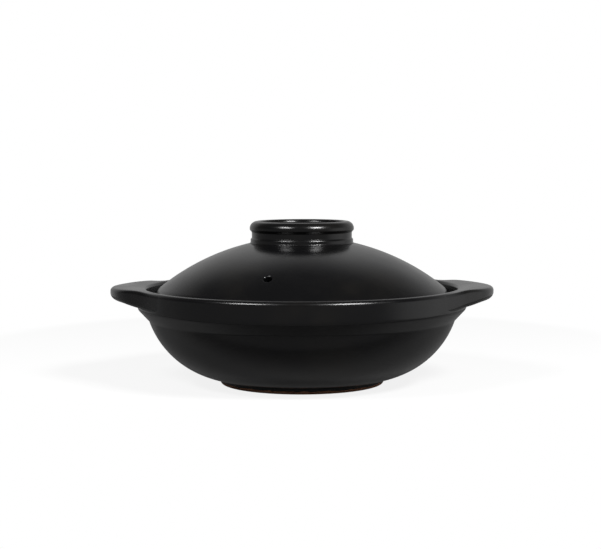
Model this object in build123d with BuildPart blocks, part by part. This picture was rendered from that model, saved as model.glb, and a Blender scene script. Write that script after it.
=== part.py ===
"""Low clay casserole with two lug handles and a domed lid, in millimetres.

The pot is thrown as one turned bowl with a collar, a lid gallery and a foot ring,
and two lugs are luted to its collar. The lid is a turned dome with a steam vent,
and a turned ring is luted to its crown as the knob.
The origin is the centre of the foot, on the table, with +Z up and the lugs along X.
"""
from build123d import *

import os
from math import atan2, cos, dist, radians, sin, sqrt, tan

os.makedirs("parts", exist_ok=True)

# Pot: collar, rim and gallery
rim_height = 75.0
mouth_radius = 120.0
rim_width = 6.8
rim_outer_round = 3.5
rim_inner_round = 2.6
collar_height = 15.7
step_height = 9.3
step_width = 8.7
step_round = 4.5
gallery_depth = 9.0
gallery_taper = 0.8
gallery_round = 1.6
ledge_width = 12.2
ledge_round = 2.0

# Pot: body and foot
foot_radius = 63.3
foot_height = 4.5
foot_width = 8.5
foot_recess = 3.2
foot_edge_round = 2.2
foot_inner_round = 1.5
foot_root_round = 1.2
floor_thickness = 6.5
body_wall = 7.0
body_bulge_share = 0.142

# Lugs
lug_projection = 21.1
lug_half_width = 61.0
lug_flank_angle = 45.0
lug_tuck = 12.0
lug_lip = 0.4
lug_crest_rise = 0.9
lug_crest_run = 6.5
lug_tip_rise = 0.3
lug_tip_thickness = 8.6
lug_under_slope = 8.5
lug_root_depth = 2.9
lug_root_width = 3.4
lug_root_round = 7.0
lug_top_round = 3.0
lug_under_round = 5.0

# Lid
lid_gap = 0.3
lid_play = 6.6
lid_rise = 46.8
lid_edge_height = 5.9
lid_edge_round = 9.0
lid_seat_width = 6.0
lid_seat_round = 1.2
lid_inner_round = 2.2
lid_wall = 5.6
vent_diameter = 6.4
vent_inset = 21.8
vent_side_angle = 15.7
vent_edge_round = 1.2

# Knob ring
knob_radius = 40.2
knob_height = 17.0
knob_lip_round = 5.6
knob_lip_height = 6.5
knob_neck_depth = 1.6
knob_neck_drop = 2.0
knob_neck_round = 1.5
knob_foot_spread = 1.0
knob_foot_edge = 3.0
knob_foot_rise = 4.6
knob_foot_round = 1.0
knob_foot_edge_round = 1.3
knob_lute = 1.5
knob_wall = 7.8
knob_inner_round = 2.4
knob_cup_taper = 3.4
neck_room_share = 0.45

# One overrun serves every cut
overrun = 5.0

# Values worked out from the sizes above
collar_radius = mouth_radius + rim_width
body_top_radius = collar_radius - step_width
step_top = rim_height - collar_height
step_bottom = step_top - step_height
ledge_height = rim_height - gallery_depth
gallery_foot_radius = mouth_radius - gallery_taper
throat_radius = gallery_foot_radius - ledge_width
foot_inner_radius = foot_radius - foot_width
floor_height = foot_recess + floor_thickness

# The lid's seat in the gallery, and the sphere that its dome is a cap of
lid_radius = gallery_foot_radius - lid_play
seat_height = ledge_height + lid_gap
crown_height = seat_height + lid_rise
crown_drop = lid_rise - lid_edge_height
crown_radius = (lid_radius**2 + crown_drop**2) / (2 * crown_drop)
crown_centre = crown_height - crown_radius


def bulged_mid(start, end, sagitta):
    """Middle point of an arc from start to end that bulges to the right of that way by sagitta."""
    run, rise = end[0] - start[0], end[1] - start[1]
    chord = dist(start, end)
    return ((start[0] + end[0]) / 2 + sagitta * rise / chord,
            (start[1] + end[1]) / 2 - sagitta * run / chord)


def dome_point(radius, inset=0):
    """Point of the half section at this radius, on the dome or on the skin that lies inset under it."""
    return (radius, crown_centre + sqrt((crown_radius - inset)**2 - radius**2))


def dome_rounding(wanted, radius, height, inset=0):
    """The rounding wanted between the dome, or the skin inset under it, and the upright at this
    radius, or else the largest that ends on that upright at this height."""
    skin = crown_radius - inset
    largest = (skin**2 - radius**2 - (height - crown_centre)**2) / (2 * (skin - radius))
    return min(wanted, largest)


def soften(sketch, rounds):
    """Round the corners of a half section, each given as its point and its rounding."""
    for corner, rounding in rounds:
        fillet(sketch.vertices().sort_by_distance(corner)[0], rounding)


# Pot: one turned bowl. Its inner curve keeps the wall at the middle of the outer one,
# and ends level with the floor, which a circle through two points does where the tangent
# from their line's crossing with the floor meets it.
body_start = (foot_radius, foot_height)
body_end = (body_top_radius, step_bottom)
body_bulge = body_bulge_share * dist(body_start, body_end)
body_mid = bulged_mid(body_start, body_end, body_bulge)
inner_mid = bulged_mid(body_start, body_end, body_bulge - body_wall)
throat_bottom = (throat_radius, step_bottom)
floor_share = (step_bottom - floor_height) / (step_bottom - inner_mid[1])
crossing = (throat_radius + floor_share * (inner_mid[0] - throat_radius), floor_height)
floor_edge = (crossing[0] - sqrt(dist(crossing, throat_bottom) * dist(crossing, inner_mid)), floor_height)

with BuildPart() as pot_bowl:
    with BuildSketch(Plane.XZ) as bowl_section:
        with BuildLine():
            Polyline((0, foot_recess), (foot_inner_radius, foot_recess), (foot_inner_radius, 0),
                     (foot_radius, 0), body_start)
            ThreePointArc(body_start, body_mid, body_end)
            Polyline(body_end, (collar_radius, step_top), (collar_radius, rim_height),
                     (mouth_radius, rim_height), (gallery_foot_radius, ledge_height),
                     (throat_radius, ledge_height), throat_bottom)
            ThreePointArc(throat_bottom, inner_mid, floor_edge)
            Polyline(floor_edge, (0, floor_height), (0, foot_recess))
        make_face()
        soften(bowl_section, (
            ((foot_inner_radius, 0), foot_inner_round),
            ((foot_radius, 0), foot_edge_round),
            (body_start, foot_root_round),
            (body_end, step_round),
            ((collar_radius, step_top), step_round),
            ((collar_radius, rim_height), rim_outer_round),
            ((mouth_radius, rim_height), rim_inner_round),
            ((gallery_foot_radius, ledge_height), gallery_round),
            ((throat_radius, ledge_height), ledge_round),
        ))
    revolve(axis=Axis.Z)

# Lid: a turned shell with a flat seating edge, pierced square to its skin by one steam vent
seat_inner_radius = lid_radius - lid_seat_width
edge_foot = seat_height + lid_seat_round
vent_radius = lid_radius - vent_inset
vent_side = radians(vent_side_angle)
vent_mouth = (-vent_radius * sin(vent_side), -vent_radius * cos(vent_side), dome_point(vent_radius)[1])
vent_axis = (vent_mouth[0], vent_mouth[1], vent_mouth[2] - crown_centre)

with BuildPart() as lid_dome:
    with BuildSketch(Plane.XZ) as dome_section:
        with BuildLine():
            ThreePointArc(dome_point(0), dome_point(lid_radius / 2), dome_point(lid_radius))
            Polyline(dome_point(lid_radius), (lid_radius, seat_height), (seat_inner_radius, seat_height),
                     dome_point(seat_inner_radius, lid_wall))
            ThreePointArc(dome_point(seat_inner_radius, lid_wall),
                          dome_point(seat_inner_radius / 2, lid_wall), dome_point(0, lid_wall))
            Line(dome_point(0, lid_wall), dome_point(0))
        make_face()
        soften(dome_section, (
            (dome_point(lid_radius), dome_rounding(lid_edge_round, lid_radius, edge_foot)),
            ((lid_radius, seat_height), lid_seat_round),
            ((seat_inner_radius, seat_height), lid_seat_round),
            (dome_point(seat_inner_radius, lid_wall),
             dome_rounding(lid_inner_round, seat_inner_radius, edge_foot, lid_wall)),
        ))
    revolve(axis=Axis.Z)
    with Locations(Plane(origin=vent_mouth, z_dir=vent_axis)):
        Hole(vent_diameter / 2, depth=lid_wall + overrun)
    vent_rim = lid_dome.edges().filter_by(GeomType.CIRCLE, reverse=True).sort_by_distance(vent_mouth)[0]
    fillet(vent_rim, vent_edge_round)

# Knob: a turned ring that stands on the dome, open above like a cup
knob_top = dome_point(knob_radius)[1] + knob_height
lip_foot = knob_top - knob_lip_height
neck_radius = knob_radius - knob_neck_depth
neck_top = lip_foot - knob_neck_drop
knob_foot_radius = neck_radius + knob_foot_spread
knob_foot = dome_point(knob_foot_radius)
lute_end = dome_point(knob_foot_radius + knob_lute)
neck_foot = knob_foot[1] + knob_foot_rise
cup_top_radius = knob_radius - knob_wall
cup_foot = dome_point(cup_top_radius - knob_cup_taper)

# Knob: a rounding runs out on no more than its share of the neck, and the lip's stays on the lip
neck_room = neck_room_share * (neck_top - neck_foot)
neck_rate = tan(atan2(knob_neck_depth, knob_neck_drop) / 2)
foot_rate = tan(atan2(knob_foot_spread, knob_foot_rise - knob_foot_edge) / 2)
neck_round = min(knob_neck_round, neck_room / neck_rate)
foot_round = min(knob_foot_round, neck_room / foot_rate)
foot_edge_round = min(knob_foot_edge_round, knob_foot_edge - knob_lute)
lip_round = min(knob_lip_round, knob_wall - knob_inner_round, knob_lip_height - neck_round * neck_rate)

with BuildPart() as lid_knob_ring:
    with BuildSketch(Plane.XZ) as knob_section:
        with BuildLine():
            Polyline(cup_foot, (cup_top_radius, knob_top), (knob_radius, knob_top),
                     (knob_radius, lip_foot), (neck_radius, neck_top),
                     (neck_radius, neck_foot),
                     (knob_foot_radius, knob_foot[1] + knob_foot_edge),
                     (knob_foot_radius, knob_foot[1] + knob_lute), lute_end)
            ThreePointArc(lute_end, dome_point((lute_end[0] + cup_foot[0]) / 2), cup_foot)
        make_face()
        soften(knob_section, (
            ((cup_top_radius, knob_top), knob_inner_round),
            ((knob_radius, knob_top), lip_round),
            ((knob_radius, lip_foot), neck_round),
            ((neck_radius, neck_top), neck_round),
            ((neck_radius, neck_foot), foot_round),
            ((knob_foot_radius, knob_foot[1] + knob_foot_edge), foot_edge_round),
        ))
    revolve(axis=Axis.Z)

# Lugs: a turned section from the middle of the rim out past the tip
rim_middle = (mouth_radius + rim_inner_round + collar_radius - rim_outer_round) / 2
lug_lip_point = (rim_middle, rim_height + lug_lip)
lug_crest = (collar_radius + lug_crest_run, rim_height + lug_crest_rise)
lug_reach = collar_radius + lug_projection
section_reach = lug_reach + overrun
under_rate = tan(radians(lug_under_slope))
tip_top = rim_height + lug_tip_rise
tip_bottom = tip_top - lug_tip_thickness
root_radius = collar_radius + lug_root_width
root_height = tip_bottom - under_rate * (lug_reach - root_radius)
root_rate = lug_root_depth / lug_root_width
root_end = (rim_middle, root_height - root_rate * (root_radius - rim_middle))

# Lugs: the plan. Its flanks start from the collar and run a little way into it, and the
# round nose touches both flanks.
flank_turn = radians(lug_flank_angle)
flank_start = (sqrt(collar_radius**2 - lug_half_width**2), lug_half_width)
flank_end = (flank_start[0] - lug_tuck * sin(flank_turn), flank_start[1] + lug_tuck * cos(flank_turn))
flank_offset = flank_start[0] * cos(flank_turn) + flank_start[1] * sin(flank_turn)
nose_radius = (flank_offset - lug_reach * cos(flank_turn)) / (1 - cos(flank_turn))
nose_centre = lug_reach - nose_radius
nose_side = (nose_centre + nose_radius * cos(flank_turn / 2), nose_radius * sin(flank_turn / 2))
shoulder = (nose_centre + nose_radius * cos(flank_turn), nose_radius * sin(flank_turn))
tip_middle = (tip_top + tip_bottom) / 2
section_top = rim_height + overrun


def outline_edges(lug):
    """Curved edges round the plan of a lug, outside the collar."""
    curved = lug.edges().filter_by(GeomType.LINE, reverse=True).filter_by(GeomType.CIRCLE, reverse=True)
    return curved.filter_by(lambda edge: Vector(edge.center().X, edge.center().Y).length > collar_radius)


with BuildPart() as lug_right:
    with BuildSketch(Plane.XZ) as lug_section:
        with BuildLine():
            ThreePointArc(lug_lip_point, lug_crest, (section_reach, tip_top))
            Polyline((section_reach, tip_top), (section_reach, tip_bottom + under_rate * overrun),
                     (root_radius, root_height), root_end, lug_lip_point)
        make_face()
        soften(lug_section, (((root_radius, root_height), lug_root_round),))
    revolve(axis=Axis.Z)
    with BuildSketch(Plane.XY):
        with BuildLine():
            ThreePointArc((lug_reach, 0), nose_side, shoulder)
            Polyline(shoulder, flank_end, (0, 0))
            mirror(about=Plane.XZ)
        make_face()
    extrude(amount=section_top, mode=Mode.INTERSECT)
    fillet(outline_edges(lug_right).filter_by_position(Axis.Z, tip_middle, section_top), lug_top_round)
    fillet(outline_edges(lug_right).filter_by_position(Axis.Z, root_end[1], tip_middle), lug_under_round)
    add(pot_bowl.part, mode=Mode.SUBTRACT)

with BuildPart() as lug_left:
    mirror(lug_right.part, about=Plane.YZ)

pieces = {
    "pot_bowl": pot_bowl,
    "lug_right": lug_right,
    "lug_left": lug_left,
    "lid_dome": lid_dome,
    "lid_knob_ring": lid_knob_ring,
}
for name, piece in pieces.items():
    piece.part.label = name
    export_step(piece.part, f"parts/{name}.step")
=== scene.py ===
"""Low black clay casserole with two lug handles and a domed lid, dressed for the studio.

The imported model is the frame. Each of its five pieces is modelled again with a smooth section, in
its CAD piece's own place, and gets the finish of the real material: a satin black glaze over
stoneware, and bare clay where the pot stands and where the lid sits.
The pot's sizes are in millimetres and are turned to metres where a mesh or a material is made. The
studio's sizes are in metres.
"""
import logging
import math
from dataclasses import dataclass, field
from enum import Enum

import bpy
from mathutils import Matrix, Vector

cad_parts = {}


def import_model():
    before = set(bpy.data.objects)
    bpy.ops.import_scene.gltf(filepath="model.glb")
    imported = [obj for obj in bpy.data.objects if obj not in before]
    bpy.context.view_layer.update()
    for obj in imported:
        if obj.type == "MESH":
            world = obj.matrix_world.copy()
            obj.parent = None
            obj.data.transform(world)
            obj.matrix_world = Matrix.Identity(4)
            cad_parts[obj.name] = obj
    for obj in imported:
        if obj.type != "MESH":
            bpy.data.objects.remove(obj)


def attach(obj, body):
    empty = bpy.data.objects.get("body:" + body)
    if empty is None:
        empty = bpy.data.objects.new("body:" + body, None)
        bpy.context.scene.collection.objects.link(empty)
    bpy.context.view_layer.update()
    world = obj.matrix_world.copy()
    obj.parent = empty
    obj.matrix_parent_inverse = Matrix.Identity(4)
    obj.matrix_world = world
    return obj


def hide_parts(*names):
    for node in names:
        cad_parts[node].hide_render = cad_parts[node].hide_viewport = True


LOG = logging.getLogger("donabe")
IMAGE_WIDTH = 601

# Metres in a millimetre, and how near two points of a mesh lie to become one
MM = 0.001
MERGE = 0.002 * MM

# Node types and settings that come up often
MATH, RANGE, NOISE, MIX = "ShaderNodeMath", "ShaderNodeMapRange", "ShaderNodeTexNoise", "ShaderNodeMix"
PLUS, MINUS, TIMES, LARGER = ({"operation": name} for name in ("ADD", "SUBTRACT", "MULTIPLY", "MAXIMUM"))
SMOOTH = {"interpolation_type": "SMOOTHSTEP"}
COLOURS = {"data_type": "RGBA"}

Point = tuple[float, float]
Piece = bpy.types.Object
Tree = bpy.types.NodeTree
Socket = bpy.types.NodeSocket


def hex_colour(code: str) -> tuple[float, float, float, float]:
    """Turn an sRGB hex value to linear colour.

    Args:
        code: Six hex digits, with or without a leading hash sign.

    Returns:
        Red, green, blue and alpha, linear.
    """
    digits = code.lstrip("#")
    channels = [int(digits[i:i + 2], 16) / 255 for i in (0, 2, 4)]
    linear = [c / 12.92 if c <= 0.04045 else ((c + 0.055) / 1.055) ** 2.4 for c in channels]
    return (linear[0], linear[1], linear[2], 1.0)


def add_node(tree: Tree, kind: str, settings: dict | None = None,
             inputs: dict | None = None) -> bpy.types.Node:
    """Add a node with its settings, and feed its sockets.

    Args:
        tree: The node tree that the node joins.
        kind: The node's type name.
        settings: Attribute names and their values.
        inputs: Input sockets, by name or number, and the value or the output socket that feeds each.

    Returns:
        The new node.
    """
    node = tree.nodes.new(kind)
    for name, value in (settings or {}).items():
        setattr(node, name, value)
    for socket, source in (inputs or {}).items():
        if isinstance(source, Socket):
            tree.links.new(source, node.inputs[socket])
        else:
            node.inputs[socket].default_value = source
    return node


@dataclass(frozen=True)
class Fade:
    """A smooth change from start to end as a value goes from low to high, held beyond them."""

    low: float
    high: float
    start: float = 0.0
    end: float = 1.0

    def of(self, value: Socket) -> dict:
        """Give the sockets of the Map Range node that fades this value."""
        return {"Value": value, "From Min": self.low, "From Max": self.high,
                "To Min": self.start, "To Max": self.end}


@dataclass(frozen=True)
class Mottle:
    """An irregular pattern in clay or glaze: the width of its blotches, and its octaves."""

    size: float
    detail: float

    def over(self, place: Socket) -> dict:
        """Give the sockets of the Noise Texture node that draws the pattern over a place in metres."""
        return {"Scale": 1 / (self.size * MM), "Detail": self.detail, "Vector": place}


# Finishes


@dataclass(frozen=True)
class Glaze:
    """Satin black glaze on wheel-thrown stoneware, dipped and fired, with some clay left bare.

    The glaze is an iron black that came out of the kiln satin: it mirrors lamps as soft glows and
    the room only at a low angle. Its skin has the small lift and pinholes of a melted glaze over
    the faint rings that the potter's ribs left.
    Sizes and depths are in millimetres. The sand and the pinholes have their real size, under a
    pixel in the photograph's frame, so they show only from nearer.
    """

    name: str = "satin_black_glaze_on_stoneware"
    colour_deep: str = "#0a0a0b"
    colour_thin: str = "#100f0e"
    clay_pale: str = "#a5765a"
    clay_dark: str = "#7d5340"
    ior: float = 1.5
    specular: float = 0.38
    clay_roughness: float = 0.86
    bare_foot: float = 2.4
    bare_ledge: tuple[float, float, float, float] | None = None
    glaze_line: Mottle = Mottle(size=9.0, detail=3.0)
    line_wander: Fade = Fade(0.3, 0.7, -0.35 * MM, 0.35 * MM)
    line_softness: float = 0.12
    cloud: Mottle = Mottle(size=38.0, detail=4.0)
    cloud_thin: Fade = Fade(0.42, 0.72)
    grain: Mottle = Mottle(size=0.45, detail=4.0)
    grain_pale: Fade = Fade(0.35, 0.65)
    drift: Mottle = Mottle(size=19.0, detail=5.0)
    satin: Fade = Fade(0.35, 0.65, 0.21, 0.25)
    ring_spacing: float = 3.4
    ring_depth: float = 0.003
    ring_wobble: float = 1.2
    wobble_detail: float = 1.0
    wobble_scale: float = 0.6
    skin: Mottle = Mottle(size=1.6, detail=2.0)
    skin_depth: float = 0.0012
    pinhole_spacing: float = 5.5
    pinhole_radius: float = 0.16
    pinhole_floor_share: float = 0.4
    pinhole_depth: float = 0.03
    sand: Mottle = Mottle(size=0.45, detail=3.0)
    sand_depth: float = 0.09
    glaze_depth: float = 0.18

    def material(self) -> bpy.types.Material:
        """Build the node material.

        Returns:
            The finished material.
        """
        material = bpy.data.materials.new(self.name)
        material.use_nodes = True
        tree = material.node_tree
        tree.nodes.clear()
        place = add_node(tree, "ShaderNodeTexCoord").outputs["Object"]
        bare = self._bare_clay(tree, place)
        shader = add_node(tree, "ShaderNodeBsdfPrincipled", inputs={
            "IOR": self.ior,
            "Specular IOR Level": self.specular,
            "Base Color": self._colour(tree, place, bare),
            "Roughness": self._roughness(tree, place, bare),
            "Normal": self._relief(tree, place, bare)})
        add_node(tree, "ShaderNodeOutputMaterial", inputs={"Surface": shader.outputs["BSDF"]})
        return material

    def _bare_clay(self, tree: Tree, place: Socket) -> Socket:
        """Find where the glaze was wiped off: up to a height, and on the ledge if there is one.

        Args:
            tree: The material's nodes.
            place: Object coordinates in metres.

        Returns:
            One on bare clay and nought on glaze.
        """
        across, deep, up = add_node(tree, "ShaderNodeSeparateXYZ", inputs={0: place}).outputs
        waves = add_node(tree, NOISE, inputs=self.glaze_line.over(place)).outputs["Fac"]
        wander = add_node(tree, RANGE, SMOOTH, self.line_wander.of(waves)).outputs[0]
        height = add_node(tree, MATH, PLUS, {0: up, 1: wander}).outputs[0]
        edge, foot = self.line_softness * MM, self.bare_foot * MM
        bare = add_node(tree, RANGE, SMOOTH, Fade(foot + edge, foot - edge).of(height)).outputs[0]
        if self.bare_ledge:
            inner, outer, low, high = (value * MM for value in self.bare_ledge)
            flat = add_node(tree, "ShaderNodeCombineXYZ", inputs={0: across, 1: deep}).outputs[0]
            radius = add_node(tree, "ShaderNodeVectorMath", {"operation": "LENGTH"},
                              {0: flat}).outputs["Value"]
            radius = add_node(tree, MATH, PLUS, {0: radius, 1: wander}).outputs[0]
            ledge = 1.0
            for value, fade in ((radius, Fade(inner - edge, inner + edge)),
                                (radius, Fade(outer + edge, outer - edge)),
                                (up, Fade(low - edge, low + edge)),
                                (up, Fade(high + edge, high - edge))):
                within = add_node(tree, RANGE, SMOOTH, fade.of(value)).outputs[0]
                ledge = add_node(tree, MATH, TIMES, {0: ledge, 1: within}).outputs[0]
            bare = add_node(tree, MATH, LARGER, {0: bare, 1: ledge}).outputs[0]
        return bare

    def _colour(self, tree: Tree, place: Socket, bare: Socket) -> Socket:
        """Colour the glaze black, a little browner where it lies thin, and bare clay as sandy clay.

        Args:
            tree: The material's nodes.
            place: Object coordinates in metres.
            bare: Mask of bare clay.

        Returns:
            The colour.
        """
        clouds = add_node(tree, NOISE, inputs=self.cloud.over(place)).outputs["Fac"]
        thin = add_node(tree, RANGE, SMOOTH, self.cloud_thin.of(clouds)).outputs[0]
        grains = add_node(tree, NOISE, inputs=self.grain.over(place)).outputs["Fac"]
        pale = add_node(tree, RANGE, SMOOTH, self.grain_pale.of(grains)).outputs[0]
        # Sockets 6 and 7 are the two colours that the node mixes, and output 2 is the mixed one
        glaze = add_node(tree, MIX, COLOURS, {0: thin, 6: hex_colour(self.colour_deep),
                                              7: hex_colour(self.colour_thin)}).outputs[2]
        clay = add_node(tree, MIX, COLOURS, {0: pale, 6: hex_colour(self.clay_dark),
                                             7: hex_colour(self.clay_pale)}).outputs[2]
        return add_node(tree, MIX, COLOURS, {0: bare, 6: glaze, 7: clay}).outputs[2]

    def _roughness(self, tree: Tree, place: Socket, bare: Socket) -> Socket:
        """Let the satin drift a little where the glaze ran thick or thin, and leave clay dry.

        Args:
            tree: The material's nodes.
            place: Object coordinates in metres.
            bare: Mask of bare clay.

        Returns:
            The roughness.
        """
        drift = add_node(tree, NOISE, inputs=self.drift.over(place)).outputs["Fac"]
        satin = add_node(tree, RANGE, SMOOTH, self.satin.of(drift)).outputs[0]
        # Sockets 2 and 3 are the two numbers that the node mixes
        return add_node(tree, MIX, inputs={0: bare, 2: satin, 3: self.clay_roughness}).outputs[0]

    def _relief(self, tree: Tree, place: Socket, bare: Socket) -> Socket:
        """Raise turning rings, the glaze's soft skin with its pinholes, sand and the glaze line.

        Args:
            tree: The material's nodes.
            place: Object coordinates in metres.
            bare: Mask of bare clay.

        Returns:
            The bent normal.
        """
        # A Wave Texture has a ring each pi / (10 x scale)
        rings = add_node(tree, "ShaderNodeTexWave", {"wave_type": "RINGS", "rings_direction": "SPHERICAL"},
                         {"Scale": math.pi / (10 * self.ring_spacing * MM), "Vector": place,
                          "Distortion": self.ring_wobble, "Detail": self.wobble_detail,
                          "Detail Scale": self.wobble_scale}).outputs["Fac"]
        skin = add_node(tree, NOISE, inputs=self.skin.over(place)).outputs["Fac"]
        cells = add_node(tree, "ShaderNodeTexVoronoi", inputs={
            "Scale": 1 / (self.pinhole_spacing * MM), "Vector": place}).outputs["Distance"]
        hole = self.pinhole_radius / self.pinhole_spacing
        pinholes = add_node(tree, RANGE, SMOOTH,
                            Fade(self.pinhole_floor_share * hole, hole).of(cells)).outputs[0]
        grit = add_node(tree, NOISE, inputs=self.sand.over(place)).outputs["Fac"]
        sand = add_node(tree, MATH, TIMES, {0: grit, 1: bare}).outputs[0]
        glazed = add_node(tree, MATH, MINUS, {0: 1.0, 1: bare}).outputs[0]
        under = {}
        for height, depth in ((rings, self.ring_depth), (skin, self.skin_depth),
                              (pinholes, self.pinhole_depth), (sand, self.sand_depth),
                              (glazed, self.glaze_depth)):
            bump = add_node(tree, "ShaderNodeBump",
                            inputs={"Strength": 1.0, "Distance": depth * MM, "Height": height, **under})
            under = {"Normal": bump.outputs["Normal"]}
        return under["Normal"]


# Sections of the pieces

# Length of an edge along an arc in millimetres, and the fewest edges in one
ARC_EDGE, ARC_EDGES = 2.5, 4


def walk(path: list[Point], length: float) -> tuple[Point, int]:
    """Go along a path from its first point.

    Args:
        path: The points, in order.
        length: How far to go.

    Returns:
        The point reached, and the number of the first path point beyond it.
    """
    left = length
    for number, (start, end) in enumerate(zip(path, path[1:]), 1):
        step = math.dist(start, end)
        if step >= left:
            share = left / step
            return (start[0] + share * (end[0] - start[0]), start[1] + share * (end[1] - start[1])), number
        left -= step
    return path[-1], len(path)


def bend(start: Point, corner: Point, end: Point, turn: float, steps: int) -> list[Point]:
    """Points of the arc that leaves the start and meets the end along their lines to the corner.

    Args:
        start: First point.
        corner: Where the two lines meet.
        end: Last point.
        turn: Angle by which the path turns there, in radians.
        steps: Number of short edges.

    Returns:
        The points, with both ends.
    """
    weight, arc = math.cos(turn / 2), []
    for step in range(steps + 1):
        t = step / steps
        a, b, c = (1 - t) ** 2, 2 * weight * t * (1 - t), t ** 2
        arc.append(((a * start[0] + b * corner[0] + c * end[0]) / (a + b + c),
                    (a * start[1] + b * corner[1] + c * end[1]) / (a + b + c)))
    return arc


def turn_at(before: Point, corner: Point, after: Point) -> float:
    """Angle in radians by which a path turns at a corner."""
    return abs(math.remainder(math.atan2(after[1] - corner[1], after[0] - corner[0])
                              - math.atan2(corner[1] - before[1], corner[0] - before[0]), math.tau))


def round_corner(path: list[Point], corner: Point, radius: float, steps: int) -> list[Point]:
    """Round one corner of an open path.

    Args:
        path: The points, in order.
        corner: The corner's place.
        radius: Radius of the rounding.
        steps: Number of short edges in it.

    Returns:
        The path with the corner rounded.
    """
    at = min(range(len(path)), key=lambda i: math.dist(path[i], corner))
    turn = turn_at(path[at - 1], path[at], path[at + 1])
    reach = radius * math.tan(turn / 2)
    start, back = walk(path[at::-1], reach)
    end, ahead = walk(path[at:], reach)
    return path[:at - back + 1] + bend(start, path[at], end, turn, steps) + path[at + ahead:]


def corner_arc(before: Point, corner: Point, after: Point, radius: float, steps: int) -> list[Point]:
    """Rounding of the corner between two straight lines.

    Args:
        before: A point on the line that comes in.
        corner: The corner.
        after: A point on the line that goes out.
        radius: Radius of the rounding.
        steps: Number of short edges in it.

    Returns:
        The points of the rounding alone, with both ends.
    """
    turn = turn_at(before, corner, after)
    reach = radius * math.tan(turn / 2)
    start, end = (walk([corner, far], reach)[0] for far in (before, after))
    return bend(start, corner, end, turn, steps)


def arc_through(start: Point, middle: Point, end: Point) -> list[Point]:
    """Points along the arc through three points, about an edge's length apart.

    Args:
        start: First point.
        middle: A point on the way.
        end: Last point.

    Returns:
        The points, with both ends.
    """
    (ax, ay), (bx, by), (cx, cy) = start, middle, end
    d = 2 * (ax * (by - cy) + bx * (cy - ay) + cx * (ay - by))
    sa, sb, sc = ax * ax + ay * ay, bx * bx + by * by, cx * cx + cy * cy
    ox = (sa * (by - cy) + sb * (cy - ay) + sc * (ay - by)) / d
    oy = (sa * (cx - bx) + sb * (ax - cx) + sc * (bx - ax)) / d
    radius = math.dist((ox, oy), start)
    first = math.atan2(ay - oy, ax - ox)
    half = math.remainder(math.atan2(by - oy, bx - ox) - first, math.tau)
    last = math.remainder(math.atan2(cy - oy, cx - ox) - math.atan2(by - oy, bx - ox), math.tau)
    sweep = half + last
    count = max(ARC_EDGES, round(abs(sweep) * radius / ARC_EDGE))
    return [(ox + radius * math.cos(first + sweep * i / count),
             oy + radius * math.sin(first + sweep * i / count)) for i in range(count + 1)]


def draw_section(name: str, section: list[Point]) -> Piece:
    """Draw a section as a chain of edges in the plane through the axis, and stay in edit mode.

    Args:
        name: The new object's name.
        section: Radius and height of each point, in millimetres.

    Returns:
        The object, open in edit mode with all of it selected.
    """
    bpy.ops.object.select_all(action="DESELECT")
    bpy.ops.mesh.primitive_plane_add(size=MM, location=(0, 0, 0))
    piece = bpy.context.object
    piece.name = name
    bpy.ops.object.mode_set(mode="EDIT")
    bpy.ops.mesh.select_all(action="SELECT")
    bpy.ops.mesh.merge(type="CENTER")
    points = [Vector((radius * MM, 0, height * MM)) for radius, height in section]
    bpy.ops.transform.translate(value=points[0])
    for here, there in zip(points, points[1:]):
        bpy.ops.mesh.extrude_region_move(TRANSFORM_OT_translate={"value": there - here})
    bpy.ops.mesh.select_all(action="SELECT")
    return piece


@dataclass
class Turned:
    """A shape turned about the axis, made as one half section that is spun."""

    name: str = "turned"
    steps: int = 180

    def section(self) -> list[Point]:
        """Half section in millimetres, in order and closed on itself or on the axis."""
        raise NotImplementedError

    def build(self) -> Piece:
        """Draw the section, spin it and close its seam.

        Returns:
            The turned object, at the origin.
        """
        piece = draw_section(self.name, self.section())
        bpy.ops.mesh.remove_doubles(threshold=MERGE)
        bpy.ops.mesh.select_all(action="SELECT")
        bpy.ops.mesh.spin(steps=self.steps, angle=math.tau, center=(0, 0, 0), axis=(0, 0, 1))
        bpy.ops.mesh.select_all(action="SELECT")
        bpy.ops.mesh.remove_doubles(threshold=MERGE)
        bpy.ops.mesh.normals_make_consistent(inside=False)
        bpy.ops.object.mode_set(mode="OBJECT")
        bpy.ops.object.transform_apply(location=True, rotation=True, scale=True)
        bpy.ops.object.shade_smooth()
        return piece


@dataclass
class TurnedPiece(Turned):
    """A turned piece of the pot, with the CAD piece that it replaces and its body; its slot is not used.
    """

    node: str = ""
    body: str = ""
    slot: str = ""
    corner_steps: int = 8

    def soften(self, path: list[Point], corners: tuple[tuple[Point, float], ...]) -> list[Point]:
        """Round the section's corners.

        Args:
            path: The section with sharp corners.
            corners: Each corner's place and radius.

        Returns:
            The section with those corners rounded.
        """
        for corner, radius in corners:
            path = round_corner(path, corner, radius, self.corner_steps)
        return path

    def dress(self, piece: Piece, finish: Glaze) -> None:
        """Give the piece its finish and its place in the frame.

        Args:
            piece: The finished object.
            finish: The glaze that it wears.
        """
        piece.data.materials.clear()
        piece.data.materials.append(finish.material())
        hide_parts(self.node)
        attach(piece, self.body)


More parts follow.
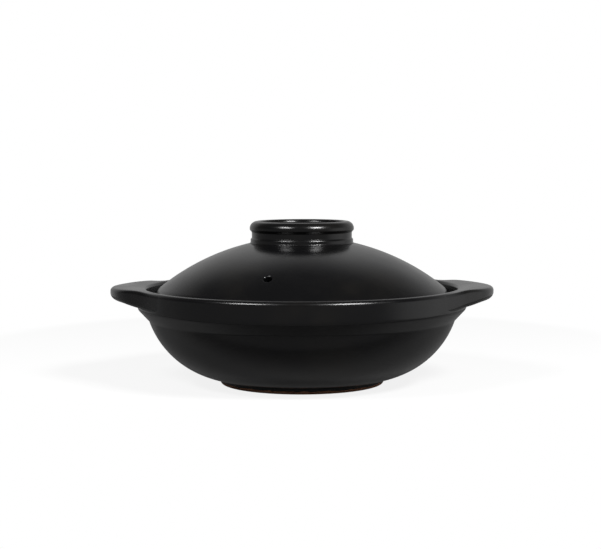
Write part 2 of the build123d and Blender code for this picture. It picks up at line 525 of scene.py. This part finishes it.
@dataclass
class Bowl(TurnedPiece):
    """The thrown bowl: foot ring, round body, stepped collar, rim and the gallery for the lid."""

    name: str = "glazed_bowl"
    node: str = "pot_bowl"
    body: str = "pot"
    slot: str = "pot_glaze"
    rim_height: float = 75.0
    mouth_radius: float = 120.0
    rim_width: float = 6.8
    rim_outer_round: float = 3.5
    rim_inner_round: float = 2.6
    collar_height: float = 15.7
    step_height: float = 9.3
    step_width: float = 8.7
    step_round: float = 4.5
    gallery_depth: float = 9.0
    gallery_taper: float = 0.8
    gallery_round: float = 1.6
    ledge_width: float = 12.2
    ledge_round: float = 2.0
    foot_radius: float = 63.3
    foot_height: float = 4.5
    foot_width: float = 8.5
    foot_recess: float = 3.2
    foot_edge_round: float = 2.2
    foot_inner_round: float = 1.5
    foot_root_round: float = 1.2
    floor_thickness: float = 6.5
    body_wall: float = 7.0
    body_bulge_share: float = 0.142
    bare_inset: float = 1.4
    bare_width: float = 5.2
    bare_drop: float = 0.6
    bare_rise: float = 0.5

    @property
    def collar_radius(self) -> float:
        """Radius of the collar's outside."""
        return self.mouth_radius + self.rim_width

    def bare_ledge(self) -> tuple[float, float, float, float]:
        """Bound the bare clay on the gallery's ledge, where the lid's seat rests.

        Returns:
            Its inner and outer radius, and its lowest and highest point.
        """
        inner = self.mouth_radius - self.gallery_taper - self.ledge_width + self.bare_inset
        ledge = self.rim_height - self.gallery_depth
        return (inner, inner + self.bare_width, ledge - self.bare_drop, ledge + self.bare_rise)

    def section(self) -> list[Point]:
        """Half section from under the floor, out round the foot, up the body and back inside.

        Returns:
            The points in millimetres.
        """
        collar = self.collar_radius
        step_top = self.rim_height - self.collar_height
        step_foot = step_top - self.step_height
        ledge = self.rim_height - self.gallery_depth
        gallery_foot = self.mouth_radius - self.gallery_taper
        throat = gallery_foot - self.ledge_width
        foot_inside = self.foot_radius - self.foot_width
        floor = self.foot_recess + self.floor_thickness
        start, end = (self.foot_radius, self.foot_height), (collar - self.step_width, step_foot)
        chord = math.dist(start, end)
        bulge = self.body_bulge_share * chord
        across = ((end[1] - start[1]) / chord, -(end[0] - start[0]) / chord)
        half = ((start[0] + end[0]) / 2, (start[1] + end[1]) / 2)
        outer_mid = (half[0] + bulge * across[0], half[1] + bulge * across[1])
        inner_mid = (half[0] + (bulge - self.body_wall) * across[0],
                     half[1] + (bulge - self.body_wall) * across[1])
        throat_foot = (throat, step_foot)
        share = (step_foot - floor) / (step_foot - inner_mid[1])
        crossing = (throat + share * (inner_mid[0] - throat), floor)
        floor_edge = (crossing[0] - math.sqrt(math.dist(crossing, throat_foot)
                                              * math.dist(crossing, inner_mid)), floor)
        path = [(0, self.foot_recess), (foot_inside, self.foot_recess), (foot_inside, 0),
                (self.foot_radius, 0)]
        path += arc_through(start, outer_mid, end)
        path += [(collar, step_top), (collar, self.rim_height), (self.mouth_radius, self.rim_height),
                 (gallery_foot, ledge), (throat, ledge)]
        path += arc_through(throat_foot, inner_mid, floor_edge)
        path += [(0, floor)]
        return self.soften(path, (
            ((foot_inside, 0), self.foot_inner_round),
            ((self.foot_radius, 0), self.foot_edge_round),
            (start, self.foot_root_round),
            (end, self.step_round),
            ((collar, step_top), self.step_round),
            ((collar, self.rim_height), self.rim_outer_round),
            ((self.mouth_radius, self.rim_height), self.rim_inner_round),
            ((gallery_foot, ledge), self.gallery_round),
            ((throat, ledge), self.ledge_round)))


@dataclass
class Dome:
    """The sphere that the lid's top is a cap of, shared by the lid and its knob."""

    radius: float = 112.6
    rise: float = 46.8
    edge_height: float = 5.9
    seat_height: float = 66.3
    wall: float = 5.6

    @property
    def sphere_radius(self) -> float:
        """Radius of the sphere, from how far the crown stands over the dome's edge."""
        drop = self.rise - self.edge_height
        return (self.radius ** 2 + drop ** 2) / (2 * drop)

    @property
    def centre_height(self) -> float:
        """Height of the sphere's centre, which lies below the table."""
        return self.seat_height + self.rise - self.sphere_radius

    def at(self, radius: float, inset: float = 0.0) -> Point:
        """Find the point of the half section at a radius.

        Args:
            radius: Distance from the axis.
            inset: How far the skin lies under the dome.

        Returns:
            The point on the dome, or on the skin under it.
        """
        return (radius, self.centre_height + math.sqrt((self.sphere_radius - inset) ** 2 - radius ** 2))


@dataclass
class VentDrill(Turned):
    """The drill that leaves the vent: a rod with a flared top, and the vent's mouth at the origin."""

    name: str = "vent_drill"
    steps: int = 48
    radius: float = 3.2
    flare: float = 1.2
    reach: float = 14.0
    flare_steps: int = 6

    def section(self) -> list[Point]:
        """Half section from the tip of the rod up to the flare and over it.

        Returns:
            The points in millimetres.
        """
        path = [(0.0, -self.reach), (self.radius, -self.reach), (self.radius, -self.flare)]
        for step in range(1, self.flare_steps + 1):
            turn = math.radians(90 * step / self.flare_steps)
            out, drop = self.flare * (1 - math.cos(turn)), self.flare * (1 - math.sin(turn))
            path.append((self.radius + out, -drop))
        return path + [(self.radius + self.flare, self.flare), (0.0, self.flare)]


@dataclass
class Lid(TurnedPiece):
    """The turned lid: a clay shell with a flat seat and one steam vent."""

    name: str = "glazed_lid"
    node: str = "lid_dome"
    body: str = "lid"
    slot: str = "lid_glaze"
    corner_steps: int = 12
    dome: Dome = field(default_factory=Dome)
    drill: VentDrill = field(default_factory=VentDrill)
    edge_round: float = 9.0
    seat_width: float = 6.0
    seat_round: float = 1.2
    inner_round: float = 2.2
    bare_rise: float = 0.8
    vent_radius: float = 90.8
    vent_side_angle: float = 15.7
    vent_sharp_angle: float = 40.0

    @property
    def bare_height(self) -> float:
        """Height up to which the clay of the seat is bare."""
        return self.dome.seat_height + self.bare_rise

    def section(self) -> list[Point]:
        """Half section from the crown down the dome, round the edge and seat, and back inside.

        Returns:
            The points in millimetres.
        """
        dome, seat_inside = self.dome, self.dome.radius - self.seat_width
        path = arc_through(dome.at(0), dome.at(dome.radius / 2), dome.at(dome.radius))
        path += [(dome.radius, dome.seat_height), (seat_inside, dome.seat_height)]
        path += arc_through(dome.at(seat_inside, dome.wall), dome.at(seat_inside / 2, dome.wall),
                            dome.at(0, dome.wall))
        return self.soften(path, (
            (dome.at(dome.radius), self.edge_round),
            ((dome.radius, dome.seat_height), self.seat_round),
            ((seat_inside, dome.seat_height), self.seat_round),
            (dome.at(seat_inside, dome.wall), self.inner_round)))

    def build(self) -> Piece:
        """Turn the lid and pierce it.

        Returns:
            The lid, at the origin.
        """
        lid = super().build()
        self.pierce(lid)
        return lid

    def pierce(self, lid: Piece) -> None:
        """Cut the steam vent, square to the dome and with a softened mouth.

        Args:
            lid: The turned lid.
        """
        side = math.radians(self.vent_side_angle)
        radius, height = self.dome.at(self.vent_radius)
        mouth = Vector((-radius * math.sin(side), -radius * math.cos(side), height)) * MM
        out = (mouth - Vector((0, 0, self.dome.centre_height)) * MM).normalized()
        cutter = self.drill.build()
        cutter.rotation_mode = "QUATERNION"
        cutter.rotation_quaternion = Vector((0, 0, 1)).rotation_difference(out)
        cutter.location = mouth
        bpy.ops.object.select_all(action="DESELECT")
        bpy.context.view_layer.objects.active = lid
        lid.select_set(True)
        cut = lid.modifiers.new("vent", "BOOLEAN")
        cut.operation, cut.solver, cut.object = "DIFFERENCE", "EXACT", cutter
        bpy.ops.object.modifier_apply(modifier="vent")
        even = lid.modifiers.new("even", "WEIGHTED_NORMAL")
        even.keep_sharp = True
        bpy.ops.object.shade_smooth_by_angle(angle=math.radians(self.vent_sharp_angle))
        bpy.ops.object.modifier_apply(modifier="even")
        bpy.data.objects.remove(cutter)


@dataclass
class Knob(TurnedPiece):
    """The turned ring on the lid's crown: a rolled lip, a neck and a spread foot on the dome."""

    name: str = "glazed_knob_ring"
    node: str = "lid_knob_ring"
    body: str = "lid"
    slot: str = "lid_glaze"
    corner_steps: int = 10
    dome: Dome = field(default_factory=Dome)
    radius: float = 40.2
    height: float = 17.0
    lip_round: float = 5.6
    lip_height: float = 6.5
    neck_depth: float = 1.6
    neck_drop: float = 2.0
    neck_round: float = 1.5
    foot_spread: float = 1.0
    foot_edge: float = 3.2
    foot_rise: float = 4.0
    foot_round: float = 0.6
    foot_edge_round: float = 1.8
    lute: float = 0.6
    wall: float = 7.8
    inner_round: float = 2.4
    cup_taper: float = 3.4

    def section(self) -> list[Point]:
        """Half section from the cup's foot over the lip, down the neck and back along the dome.

        Returns:
            The points in millimetres.
        """
        dome = self.dome
        top = dome.at(self.radius)[1] + self.height
        lip_foot = top - self.lip_height
        neck = self.radius - self.neck_depth
        neck_top = lip_foot - self.neck_drop
        foot_radius = neck + self.foot_spread
        foot, lute_end = dome.at(foot_radius), dome.at(foot_radius + self.lute)
        neck_foot = foot[1] + self.foot_rise
        cup_top = self.radius - self.wall
        cup_foot = dome.at(cup_top - self.cup_taper)
        path = [cup_foot, (cup_top, top), (self.radius, top), (self.radius, lip_foot),
                (neck, neck_top), (neck, neck_foot), (foot_radius, foot[1] + self.foot_edge),
                (foot_radius, foot[1] + self.lute), lute_end]
        path = self.soften(path, (
            ((cup_top, top), self.inner_round),
            ((self.radius, top), self.lip_round),
            ((self.radius, lip_foot), self.neck_round),
            ((neck, neck_top), self.neck_round),
            ((neck, neck_foot), self.foot_round),
            ((foot_radius, foot[1] + self.foot_edge), self.foot_edge_round),
            ((foot_radius, foot[1] + self.lute), self.lute)))
        under = arc_through(lute_end, dome.at((lute_end[0] + cup_foot[0]) / 2), cup_foot)
        return path[:-1] + under


class End(Enum):
    """Which end of the pot a lug is on, as the turn from +X in degrees."""

    RIGHT = 0.0
    LEFT = 180.0


def eased(value: float, span: float) -> float:
    """Rise smoothly from nought to one as the value goes from nought to the span."""
    share = min(max(value / span, 0.0), 1.0)
    return share * share * (3 - 2 * share)


@dataclass
class Lug:
    """A pressed lug luted to the collar, its top smoothed over the rim and its sides into the pot."""

    end: End
    bowl: Bowl
    gallery_slope: float = 0.09
    inner_round: float = 2.9
    projection: float = 21.1
    half_width: float = 61.0
    flank_angle: float = 45.0
    crest_rise: float = 0.9
    tip_rise: float = 0.3
    crest_run: float = 6.5
    tip_thickness: float = 8.6
    under_slope: float = 8.5
    root_depth: float = 2.9
    root_width: float = 3.4
    root_ease: float = 3.0
    top_round: float = 3.0
    under_round: float = 5.0
    luting_blend: float = 5.0
    sunk: float = 0.35
    swell: float = 9.0
    hem_drop: float = 4.0
    hem_tuck: float = 3.0
    root_tuck: float = 5.0
    arm: float = 10.0
    edge_steps: int = 8
    belly_steps: int = 10
    top_steps: int = 17
    under_steps: int = 14
    half_turn: float = 34.0
    steps: int = 136
    sharp_angle: float = 50.0

    def reach(self, turn: float) -> float:
        """Radius of the lug's plan at this turn from its middle, blended into the collar.

        Args:
            turn: Angle from the lug's middle, in radians.

        Returns:
            The radius in millimetres, a little under the collar's where the lug has ended.
        """
        turn, flank = abs(turn), math.radians(self.flank_angle)
        tip = self.bowl.collar_radius + self.projection
        root = math.sqrt(self.bowl.collar_radius ** 2 - self.half_width ** 2)
        offset = root * math.cos(flank) + self.half_width * math.sin(flank)
        nose = (offset - tip * math.cos(flank)) / (1 - math.cos(flank))
        centre = tip - nose
        shoulder = math.atan2(nose * math.sin(flank), centre + nose * math.cos(flank))
        if turn < shoulder:
            plan = centre * math.cos(turn) + math.sqrt(nose ** 2 - (centre * math.sin(turn)) ** 2)
        else:
            plan = offset / math.cos(turn - flank)
        floor = self.bowl.collar_radius - self.sunk
        meet = max(self.luting_blend - abs(plan - floor), 0.0) / self.luting_blend
        return max(plan, floor) + meet * meet * self.luting_blend / 4

    def top(self, radius: float, strength: float) -> float:
        """Find the height of the top face at a radius.

        Args:
            radius: Distance from the axis.
            strength: One where the lug stands out, falling to nought where it has ended.

        Returns:
            The height, a little under the rim's where the lug has ended.
        """
        tip = self.bowl.collar_radius + self.projection
        crest = self.bowl.collar_radius + self.crest_run
        if radius < crest:
            start = self.bowl.mouth_radius
            rise = self.crest_rise * eased(radius - start, crest - start)
        else:
            rise = self.crest_rise + (self.tip_rise - self.crest_rise) * eased(radius - crest, tip - crest)
        return self.bowl.rim_height + (rise + self.sunk) * strength - self.sunk

    def under(self, radius: float) -> float:
        """Find the height of the underside, which falls faster where it runs into the collar.

        Args:
            radius: Distance from the axis.

        Returns:
            The height.
        """
        tip = self.bowl.collar_radius + self.projection
        root = self.bowl.collar_radius + self.root_width
        slope = math.tan(math.radians(self.under_slope))
        height = self.bowl.rim_height + self.tip_rise - self.tip_thickness - slope * (tip - radius)
        steep = self.root_depth / self.root_width - slope
        run = max(root + self.root_ease - radius, 0.0)
        return height - steep * run * run / (run + 2 * self.root_ease)

    def section(self, turn: float) -> list[Point]:
        """Closed section at this turn, from inside the rim, over the top, round and back under.

        Args:
            turn: Angle from the lug's middle, in radians.

        Returns:
            As many points whatever the turn, in millimetres.
        """
        bowl, reach = self.bowl, self.reach(turn)
        strength = eased(reach - bowl.collar_radius + self.sunk, self.swell)
        inner = bowl.mouth_radius + (1 - strength) * self.sunk
        hem = bowl.rim_height - self.hem_drop
        wall = (bowl.mouth_radius - self.gallery_slope * self.hem_drop + self.sunk, hem)
        corner = (inner, self.top(bowl.mouth_radius, strength))
        nose = (reach, self.top(reach, strength))
        toe = (reach, self.under(reach))
        in_top, in_under = reach - self.arm, self.under(reach - self.arm)
        roll = corner_arc(wall, corner, (inner + self.arm, corner[1]), self.inner_round, self.edge_steps)
        shoulder = corner_arc((in_top, nose[1]), nose, toe, self.top_round, self.edge_steps)
        belly = corner_arc(nose, toe, (in_top, in_under), self.under_round, self.belly_steps)
        start, stop = roll[-1][0], shoulder[0][0]
        tops = [start + (stop - start) * i / self.top_steps for i in range(1, self.top_steps)]
        start, stop = belly[-1][0], bowl.collar_radius - self.root_tuck
        unders = [start + (stop - start) * i / self.under_steps for i in range(1, self.under_steps + 1)]
        return [(bowl.mouth_radius + self.hem_tuck, hem), wall, *roll,
                *((radius, self.top(radius, strength)) for radius in tops), *shoulder, *belly,
                *((radius, self.under(radius)) for radius in unders)]

    def build(self) -> Piece:
        """Spin the middle section, then bring each ring to its own section.

        Returns:
            The lug, at the origin.
        """
        base = self.section(0.0)
        piece = draw_section(f"glazed_lug_{self.end.name.lower()}", base)
        bpy.ops.mesh.edge_face_add()
        bpy.ops.mesh.spin(steps=self.steps, angle=math.radians(2 * self.half_turn), center=(0, 0, 0),
                          axis=(0, 0, 1))
        bpy.ops.mesh.select_all(action="SELECT")
        bpy.ops.mesh.remove_doubles(threshold=MERGE)
        bpy.ops.object.mode_set(mode="OBJECT")
        self._bring_to_sections(piece, base)
        bpy.ops.object.mode_set(mode="EDIT")
        bpy.ops.mesh.select_all(action="SELECT")
        bpy.ops.mesh.normals_make_consistent(inside=False)
        bpy.ops.object.mode_set(mode="OBJECT")
        bpy.ops.object.transform_apply(location=True, rotation=True, scale=True)
        bpy.ops.object.shade_smooth_by_angle(angle=math.radians(self.sharp_angle))
        return piece

    def _bring_to_sections(self, piece: Piece, base: list[Point]) -> None:
        """Move each vertex of the spun lug to its place in the section at its own turn.

        Args:
            piece: The spun lug.
            base: The section that was spun.
        """
        half, middle = math.radians(self.half_turn), math.radians(self.end.value)
        vertices = piece.data.vertices
        # With no window the spin may turn either way
        side = 1.0 if sum(math.atan2(vertex.co.y, vertex.co.x) for vertex in vertices) > 0 else -1.0
        sections: dict[int, list[Point]] = {}
        for vertex in vertices:
            spun = (math.hypot(vertex.co.x, vertex.co.y) / MM, vertex.co.z / MM)
            at = min(range(len(base)), key=lambda i: math.dist(base[i], spun))
            turn = side * math.atan2(vertex.co.y, vertex.co.x) - half
            ring = round(turn / half * self.steps)
            if ring not in sections:
                sections[ring] = self.section(turn)
            radius, height = sections[ring][at]
            vertex.co = Vector((radius * math.cos(middle + turn), radius * math.sin(middle + turn),
                                height)) * MM

    def dress(self, piece: Piece, finish: Glaze) -> None:
        """Give the lug its glaze and its place in the frame.

        Args:
            piece: The finished lug.
            finish: The glaze of the pot.
        """
        piece.data.materials.clear()
        piece.data.materials.append(finish.material())
        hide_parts(f"lug_{self.end.name.lower()}")
        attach(piece, "pot")


# Studio

ROOM_WHITE = "#ffffff"


def ray_masks(tree: Tree) -> tuple[Socket, Socket]:
    """Tell rays apart.

    Args:
        tree: The nodes that ask.

    Returns:
        A mask of rays from the lens or through glass, and one of mirrored rays.
    """
    rays = add_node(tree, "ShaderNodeLightPath").outputs
    seen = add_node(tree, MATH, LARGER, {0: rays["Is Camera Ray"], 1: rays["Is Transmission Ray"]})
    return seen.outputs[0], rays["Is Glossy Ray"]


@dataclass(frozen=True)
class Laminate:
    """White laminate, pressed matt: even and pale, with no mirror image.

    The lens sees most of the table as the room's white, with a faint shadow of the pot, and all of
    it so at its hem. Mirrored rays find it dim, because the photographed glaze mirrors a dim table.
    The hem's start and end are counted in from the table's edge. A level of one is white.
    """

    name: str = "matt_white_laminate"
    colour: str = "#f6f6f6"
    white_share: float = 0.86
    mirrored_level: float = 0.10
    hem_start: float = 0.05
    hem_end: float = 0.005

    def material(self, centre: tuple[float, float, float], radius: float) -> bpy.types.Material:
        """Build the node material for a round table top.

        Args:
            centre: Middle of the table top.
            radius: Its radius.

        Returns:
            The finished material.
        """
        material = bpy.data.materials.new(self.name)
        material.use_nodes = True
        tree = material.node_tree
        tree.nodes.clear()
        place = add_node(tree, "ShaderNodeTexCoord").outputs["Object"]
        away = add_node(tree, "ShaderNodeVectorMath", {"operation": "DISTANCE"},
                        {0: place, 1: centre}).outputs["Value"]
        seen, mirrored = ray_masks(tree)
        either = add_node(tree, MATH, LARGER, {0: seen, 1: mirrored}).outputs[0]
        hem = Fade(radius - self.hem_start, radius - self.hem_end, self.white_share, 1.0)
        share = add_node(tree, RANGE, SMOOTH, hem.of(away)).outputs[0]
        share = add_node(tree, MATH, TIMES, {0: share, 1: either}).outputs[0]
        level = add_node(tree, MATH, LARGER, {0: seen, 1: self.mirrored_level}).outputs[0]
        matt = add_node(tree, "ShaderNodeBsdfDiffuse", inputs={"Color": hex_colour(self.colour)})
        glow = add_node(tree, "ShaderNodeEmission",
                        inputs={"Color": hex_colour(ROOM_WHITE), "Strength": level})
        mixed = add_node(tree, "ShaderNodeMixShader",
                         inputs={0: share, 1: matt.outputs[0], 2: glow.outputs[0]})
        add_node(tree, "ShaderNodeOutputMaterial", inputs={"Surface": mixed.outputs[0]})
        return material


class Side(Enum):
    """Which side of the lens a lamp stands on, as the sign of its azimuth."""

    LEFT = -1
    RIGHT = 1


@dataclass(frozen=True)
class Softbox:
    """A softbox lamp aimed at the pot, with its angles in degrees and its sizes in metres."""

    side: Side
    azimuth: float
    elevation: float
    distance: float
    width: float
    height: float
    radiance: float
    target_height: float = 0.08

    def build(self) -> None:
        """Hang the lamp and aim it at the middle of the lid."""
        turn, lift = math.radians(self.side.value * self.azimuth), math.radians(self.elevation)
        target = Vector((0, 0, self.target_height))
        away = Vector((math.sin(turn) * math.cos(lift), -math.cos(turn) * math.cos(lift), math.sin(lift)))
        lamp = bpy.data.lights.new(f"softbox_{self.side.name.lower()}", "AREA")
        lamp.shape, lamp.size, lamp.size_y = "RECTANGLE", self.width, self.height
        lamp.energy = self.radiance * math.pi * self.width * self.height
        holder = bpy.data.objects.new(lamp.name, lamp)
        holder.location = target + away * self.distance
        holder.rotation_euler = away.to_track_quat("Z", "Y").to_euler()
        bpy.context.scene.collection.objects.link(holder)


@dataclass
class Studio:
    """White table and white room as the lens sees them, and the dim room that the glaze mirrors.

    A level of one is white. The room's levels follow the direction from the pot: across is to the
    right, deep is away from the lens, and up is up, each from -1 to 1. On the left the pale wall
    behind the pot starts further back.
    """

    table_radius: float = 0.34
    table_centre: tuple[float, float, float] = (0.0, 0.205, 0.0)
    table_sides: int = 96
    table_finish: Laminate = Laminate()
    room_diffuse_share: float = 0.9
    left_hold: Fade = Fade(-0.40, 0.0, -0.30, 0.0)
    wall_level: float = 0.48
    wall_depth: Fade = Fade(0.02, 0.45)
    wall_up: Fade = Fade(0.25, 0.86, 1.0, 0.0)
    glow_level: float = 0.55
    glow_rise: Fade = Fade(0.25, 0.66)
    glow_fall: Fade = Fade(0.64, 0.93, 1.0, 0.0)
    glow_aside: Fade = Fade(0.10, 0.45, 1.0, 0.0)
    right_level: float = 0.16
    right_across: Fade = Fade(0.35, 0.60)
    far_right_level: float = 0.62
    far_right_across: Fade = Fade(0.80, 1.0)
    right_up: Fade = Fade(0.20, 0.55, 1.0, 0.0)
    dark_up: Fade = Fade(0.0, 0.35, 0.22, 0.05)
    lens_pixels: float = 1491.0
    lens_sensor: float = 36.0
    lens_clip: tuple[float, float] = (0.05, 50.0)
    lens_place: tuple[float, float, float] = (-0.0011, -1.150, 0.1756)
    lens_pitch: float = 4.556
    lens_roll: float = -0.15
    softboxes: tuple[Softbox, ...] = (
        Softbox(Side.LEFT, azimuth=42.0, elevation=41.0, distance=1.3, width=0.43, height=0.26,
                radiance=31.0),
        Softbox(Side.RIGHT, azimuth=36.5, elevation=41.0, distance=1.3, width=0.38, height=0.26,
                radiance=62.0),
    )

    def table(self) -> None:
        """Lay the white table top, with the pot well inside its edge."""
        bpy.ops.object.select_all(action="DESELECT")
        bpy.ops.mesh.primitive_circle_add(vertices=self.table_sides, radius=self.table_radius,
                                          fill_type="NGON", location=self.table_centre)
        bpy.ops.object.transform_apply(location=True)
        table = bpy.context.object
        table.name = "white_table"
        table.data.materials.append(self.table_finish.material(self.table_centre, self.table_radius))

    def _patch(self, tree: Tree, level: float, *fades: tuple[Fade, Socket]) -> Socket:
        """Add a pale patch of the room, which ends where its fades end.

        Args:
            tree: The world's nodes.
            level: The patch's own level.
            fades: Each fade, and the part of the direction that it follows.

        Returns:
            The patch's level in each direction.
        """
        patch = level
        for fade, part in fades:
            share = add_node(tree, RANGE, SMOOTH, fade.of(part)).outputs[0]
            patch = add_node(tree, MATH, TIMES, {0: patch, 1: share}).outputs[0]
        return patch

    def room(self) -> None:
        """Light the room: a pale wall with a glow behind the pot, paler to the right, dim elsewhere."""
        world = bpy.data.worlds.new("studio_room")
        bpy.context.scene.world = world
        world.use_nodes = True
        tree = world.node_tree
        tree.nodes.clear()
        way = add_node(tree, "ShaderNodeTexCoord").outputs["Generated"]
        across, deep, up = add_node(tree, "ShaderNodeSeparateXYZ", inputs={0: way}).outputs
        aside = add_node(tree, MATH, {"operation": "ABSOLUTE"}, {0: across}).outputs[0]
        hold = add_node(tree, RANGE, SMOOTH, self.left_hold.of(across)).outputs[0]
        held_deep = add_node(tree, MATH, PLUS, {0: deep, 1: hold}).outputs[0]
        wall = self._patch(tree, self.wall_level, (self.wall_depth, held_deep), (self.wall_up, up))
        glow = self._patch(tree, self.glow_level, (self.wall_depth, deep), (self.glow_rise, up),
                           (self.glow_fall, up), (self.glow_aside, aside))
        right = self._patch(tree, self.right_level, (self.right_across, across), (self.right_up, up))
        far_right = self._patch(tree, self.far_right_level, (self.far_right_across, across),
                                (self.right_up, up))
        level = add_node(tree, RANGE, SMOOTH, self.dark_up.of(up)).outputs[0]
        for first, second in ((wall, glow), (right, far_right)):
            both = add_node(tree, MATH, PLUS, {0: first, 1: second}).outputs[0]
            level = add_node(tree, MATH, LARGER, {0: level, 1: both}).outputs[0]
        seen, mirrored = ray_masks(tree)
        share = add_node(tree, MATH, LARGER, {0: mirrored, 1: self.room_diffuse_share}).outputs[0]
        level = add_node(tree, MATH, TIMES, {0: level, 1: share}).outputs[0]
        level = add_node(tree, MATH, LARGER, {0: seen, 1: level}).outputs[0]
        light = add_node(tree, "ShaderNodeBackground",
                         inputs={"Color": hex_colour(ROOM_WHITE), "Strength": level})
        add_node(tree, "ShaderNodeOutputWorld", inputs={"Surface": light.outputs[0]})

    def camera(self) -> None:
        """Set the lens where the photograph was taken from."""
        lens = bpy.data.cameras.new("lens")
        lens.sensor_fit, lens.sensor_width = "HORIZONTAL", self.lens_sensor
        lens.lens = self.lens_pixels / IMAGE_WIDTH * self.lens_sensor
        lens.clip_start, lens.clip_end = self.lens_clip
        holder = bpy.data.objects.new("lens", lens)
        holder.location = self.lens_place
        holder.rotation_euler = (math.radians(90.0 - self.lens_pitch), 0.0, 0.0)
        holder.rotation_euler.rotate_axis("Z", math.radians(self.lens_roll))
        bpy.context.scene.collection.objects.link(holder)
        bpy.context.scene.camera = holder

    def build(self) -> None:
        """Set up the table, the room, the lamps and the lens."""
        self.table()
        self.room()
        for softbox in self.softboxes:
            softbox.build()
        self.camera()


def main() -> None:
    """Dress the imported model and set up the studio."""
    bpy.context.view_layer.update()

    bowl = Bowl()
    bowl.dress(bowl.build(), Glaze(bare_ledge=bowl.bare_ledge()))
    LOG.info("bowl turned")

    for end in End:
        lug = Lug(end, bowl)
        lug.dress(lug.build(), Glaze(name=f"satin_black_glaze_on_lug_{end.name.lower()}", bare_foot=0.0))
        LOG.info("lug luted on the %s", end.name.lower())

    lid = Lid()
    lid.dress(lid.build(), Glaze(name="satin_black_glaze_on_lid", bare_foot=lid.bare_height))
    LOG.info("lid turned and pierced")

    knob = Knob(dome=lid.dome)
    knob.dress(knob.build(), Glaze(name="satin_black_glaze_on_knob", bare_foot=0.0))
    LOG.info("knob turned")

    Studio().build()
    bpy.context.scene.view_settings.view_transform = "Standard"


if __name__ == "__main__":
    logging.basicConfig(level=logging.INFO)
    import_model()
    main()
